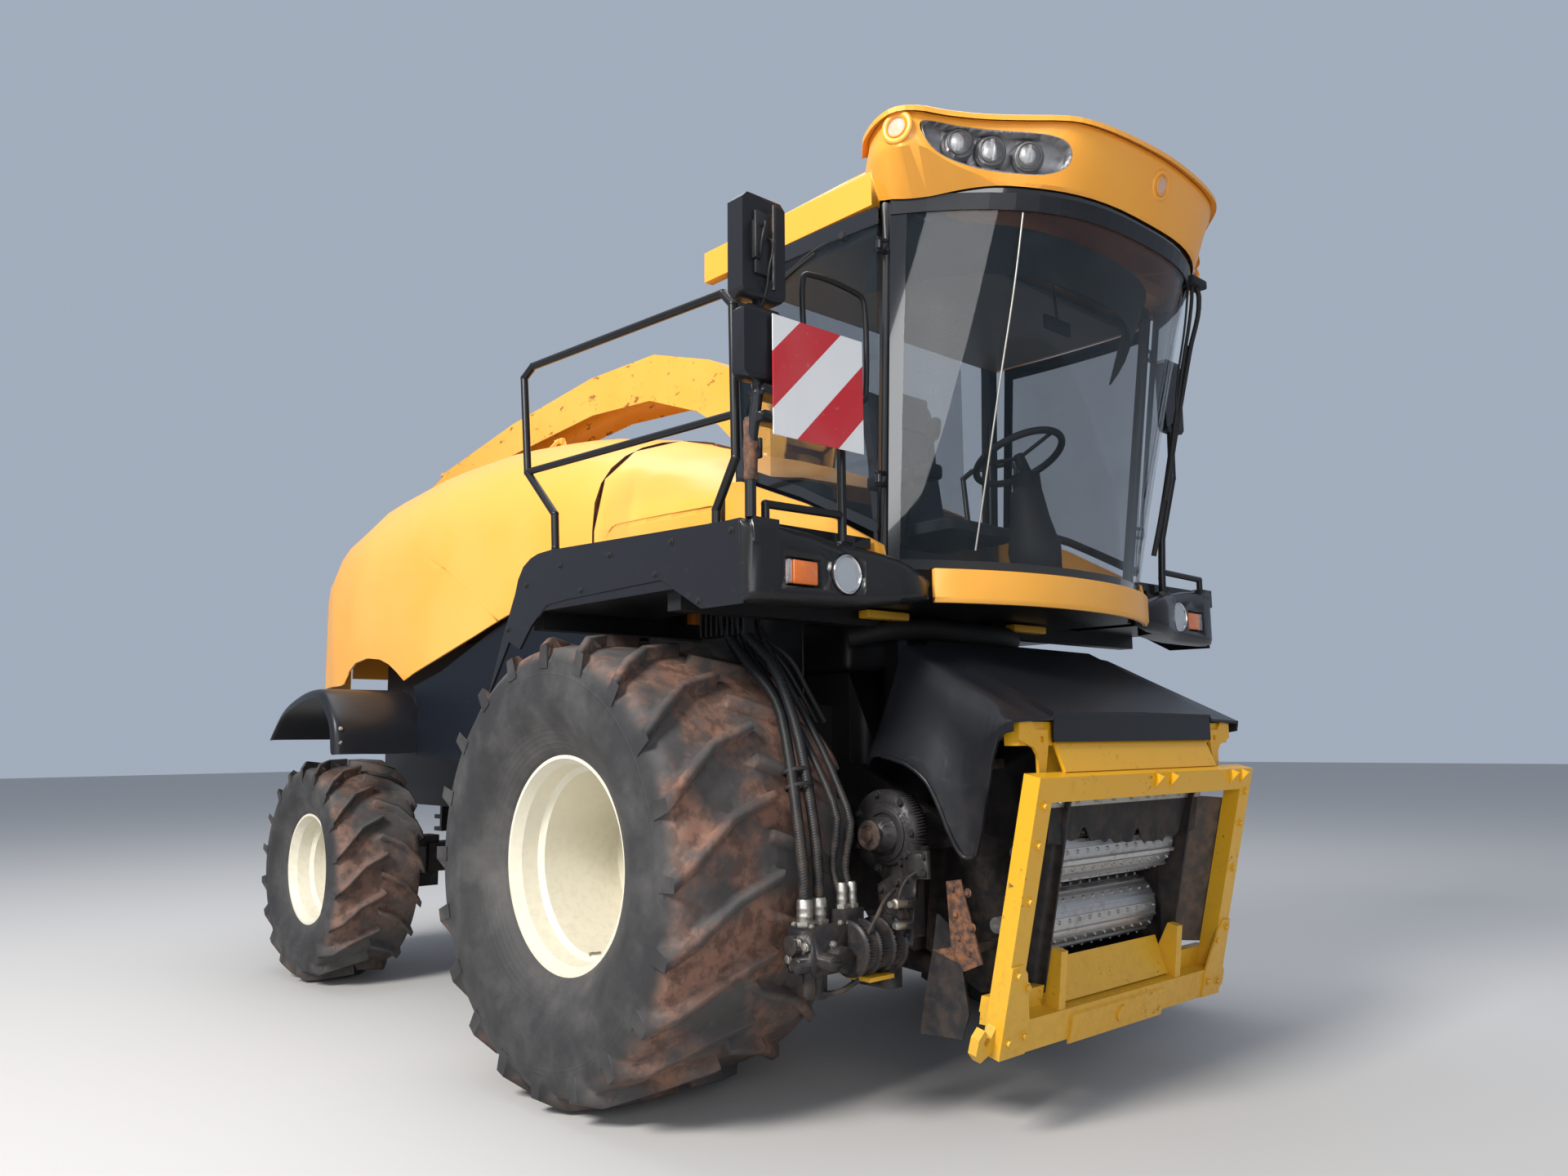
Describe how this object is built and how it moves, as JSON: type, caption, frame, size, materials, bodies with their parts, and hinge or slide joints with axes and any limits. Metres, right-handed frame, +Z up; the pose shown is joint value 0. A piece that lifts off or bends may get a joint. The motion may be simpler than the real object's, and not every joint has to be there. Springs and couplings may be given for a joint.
{
  "type": "forage harvester",
  "caption": "Self-propelled forage harvester without its header: cab over the feed housing, big front drive tyres, steered rear axle, stowed discharge spout.",
  "frame": {"origin": "middle of the machine's bounding box on the ground, between the wheels", "axes": "+X forward, to the header; +Y to the machine's left; +Z up"},
  "size_m": [6.485, 3.496, 3.8998],
  "materials": {
    "frame_black": "satin black chassis paint, dusty",
    "black_plastic": "moulded black plastic, scuffed",
    "lamp_glass": "clear lamp lenses",
    "black_tube": "black powder coat on bent tube",
    "board_white": "white board with red slanted stripes",
    "yellow_paint": "warm yellow paint, lightly faded",
    "tinted_glass": "tinted curved cab glass",
    "cab_trim": "dark cab trim",
    "navy_plastic": "dark blue-grey skirt",
    "cast_black": "black painted castings",
    "hose_rubber": "black hydraulic hose",
    "bare_steel": "worn bare steel",
    "rod_chrome": "plated rod",
    "rim_white": "cream white rim paint",
    "tyre_rubber": "worn tyre rubber with dried red mud"
  },
  "bodies": {
    "chassis": {"main_frame": "frame_black", "front_axle": "frame_black", "rear_axle": "frame_black", "engine": "frame_black", "chopper_housing": "frame_black", "platforms": "black_plastic", "lamps": "lamp_glass", "handrails": "black_tube", "mirrors": "black_plastic", "warning_board": "board_white", "cab_frame": "black_plastic", "cab_belt": "yellow_paint", "cab_glass": "tinted_glass", "roof": "yellow_paint", "cab_interior": "cab_trim", "hood_centre": "yellow_paint", "skirts": "navy_plastic", "rear_fenders": "black_plastic", "header_drive": "cast_black", "hoses": "hose_rubber"},
    "knuckle_left": {"knuckle_left": "cast_black"},
    "knuckle_right": {"knuckle_right": "cast_black"},
    "wheel_front_left": {"rim_front_left": "rim_white", "tyre_front_left": "tyre_rubber"},
    "wheel_front_right": {"rim_front_right": "rim_white", "tyre_front_right": "tyre_rubber"},
    "wheel_rear_left": {"rim_rear_left": "rim_white", "tyre_rear_left": "tyre_rubber"},
    "wheel_rear_right": {"rim_rear_right": "rim_white", "tyre_rear_right": "tyre_rubber"},
    "door_left": {"door_left": "tinted_glass"},
    "door_right": {"door_right": "tinted_glass"},
    "hood_left": {"hood_left": "yellow_paint"},
    "hood_right": {"hood_right": "yellow_paint"},
    "spout_turret": {"spout_turret": "yellow_paint"},
    "spout": {"spout": "yellow_paint"},
    "spout_flap": {"spout_flap": "yellow_paint"},
    "feeder": {"feeder_housing": "frame_black", "feeder_hood": "black_plastic", "header_frame": "yellow_paint"},
    "feed_roll_upper": {"feed_roll_upper": "bare_steel"},
    "feed_roll_lower": {"feed_roll_lower": "bare_steel"},
    "lift_barrels": {"lift_barrels": "frame_black"},
    "lift_rods": {"lift_rods": "rod_chrome"}
  },
  "joints": [
    {"name": "front_wheel_left", "type": "hinge", "parent": "chassis", "child": "wheel_front_left", "pos_m": [1.3575, 1.298, 0.925], "axis": [0, 1, 0], "continuous": true},
    {"name": "front_wheel_right", "type": "hinge", "parent": "chassis", "child": "wheel_front_right", "pos_m": [1.3575, -1.298, 0.925], "axis": [0, 1, 0], "continuous": true},
    {"name": "steer_left", "type": "hinge", "parent": "chassis", "child": "knuckle_left", "pos_m": [-1.8575, 0.8, 0.66], "axis": [0, 0, 1], "range_deg": [-40, 40]},
    {"name": "rear_wheel_left", "type": "hinge", "parent": "knuckle_left", "child": "wheel_rear_left", "pos_m": [-1.8575, 1.216, 0.66], "axis": [0, 1, 0], "continuous": true},
    {"name": "steer_right", "type": "hinge", "parent": "chassis", "child": "knuckle_right", "pos_m": [-1.8575, -0.8, 0.66], "axis": [0, 0, 1], "range_deg": [-40, 40]},
    {"name": "rear_wheel_right", "type": "hinge", "parent": "knuckle_right", "child": "wheel_rear_right", "pos_m": [-1.8575, -1.216, 0.66], "axis": [0, 1, 0], "continuous": true},
    {"name": "door_hinge_left", "type": "hinge", "parent": "chassis", "child": "door_left", "pos_m": [2.4575, 0.944, 2.145], "axis": [-0.0836, -0.0592, -0.9947], "range_deg": [0, 75]},
    {"name": "door_hinge_right", "type": "hinge", "parent": "chassis", "child": "door_right", "pos_m": [2.4575, -0.944, 2.145], "axis": [0.0836, -0.0592, 0.9947], "range_deg": [0, 40]},
    {"name": "hood_hinge_left", "type": "hinge", "parent": "chassis", "child": "hood_left", "pos_m": [-1.2425, 0.42, 3.275], "axis": [1, 0, 0], "range_deg": [0, 60]},
    {"name": "hood_hinge_right", "type": "hinge", "parent": "chassis", "child": "hood_right", "pos_m": [-1.2425, -0.42, 3.275], "axis": [-1, 0, 0], "range_deg": [0, 60]},
    {"name": "spout_slew", "type": "hinge", "parent": "chassis", "child": "spout_turret", "pos_m": [0.8775, 0, 2.8], "axis": [0, 0, 1], "range_deg": [-105, 105]},
    {"name": "spout_lift", "type": "hinge", "parent": "spout_turret", "child": "spout", "pos_m": [1.1175, 0, 3.04], "axis": [0, 1, 0], "range_deg": [0, 45]},
    {"name": "spout_flap_hinge", "type": "hinge", "parent": "spout", "child": "spout_flap", "pos_m": [-2.8025, 0, 3.47], "axis": [0, -1, 0], "range_deg": [0, 45]},
    {"name": "feeder_lift", "type": "hinge", "parent": "chassis", "child": "feeder", "pos_m": [2.3775, 0, 1.05], "axis": [0, -1, 0], "range_deg": [0, 20]},
    {"name": "feed_roll_upper_spin", "type": "hinge", "parent": "feeder", "child": "feed_roll_upper", "pos_m": [2.7325, 0, 0.975], "axis": [0, 1, 0], "continuous": true},
    {"name": "feed_roll_lower_spin", "type": "hinge", "parent": "feeder", "child": "feed_roll_lower", "pos_m": [2.6275, 0, 0.7], "axis": [0, 1, 0], "continuous": true},
    {"name": "lift_barrel_pivot", "type": "hinge", "parent": "chassis", "child": "lift_barrels", "pos_m": [1.4175, 0, 0.54], "axis": [0, -1, 0], "range_deg": [0, 5.37]},
    {"name": "lift_rod_slide", "type": "slide", "parent": "lift_barrels", "child": "lift_rods", "axis": [0.9972, 0, -0.0754], "range_m": [0, 0.18867]}
  ],
  "couplings": [
    {"joint": "steer_right", "follows": "steer_left", "ratio": 1},
    {"joint": "lift_barrel_pivot", "follows": "feeder_lift", "ratio": 0.26778},
    {"joint": "lift_rod_slide", "follows": "feeder_lift", "m_per_rad": 0.53906}
  ]
}
